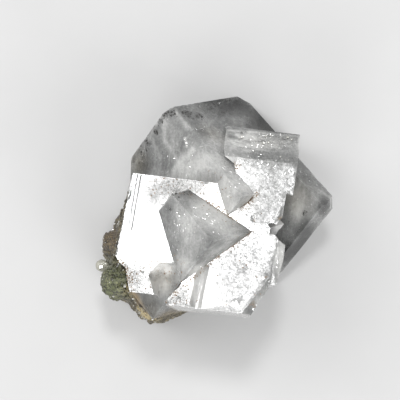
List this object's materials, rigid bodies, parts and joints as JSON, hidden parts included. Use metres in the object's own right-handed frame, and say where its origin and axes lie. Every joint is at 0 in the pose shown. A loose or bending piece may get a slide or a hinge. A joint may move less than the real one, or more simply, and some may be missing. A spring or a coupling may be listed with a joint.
{
  "type": "chabazite mineral specimen",
  "caption": "Cluster of intergrown twinned rhombohedral crystals, bright and grey faced, on a remnant of granular rock, lying on a flat break.",
  "frame": {"origin": "middle of the bounding box's base, on the flat break that the specimen lies on", "axes": "+Z up from the flat break, through the best faces; +Y is up when the specimen is viewed from above; +X is right in that view"},
  "size_m": [0.0388, 0.0386, 0.0289],
  "materials": {
    "crystal": "cloudy translucent crystal with bright faces",
    "rock": "rough granular"
  },
  "bodies": {
    "root": {"crystal_cluster": "crystal", "rock_matrix": "rock"}
  },
  "joints": []
}
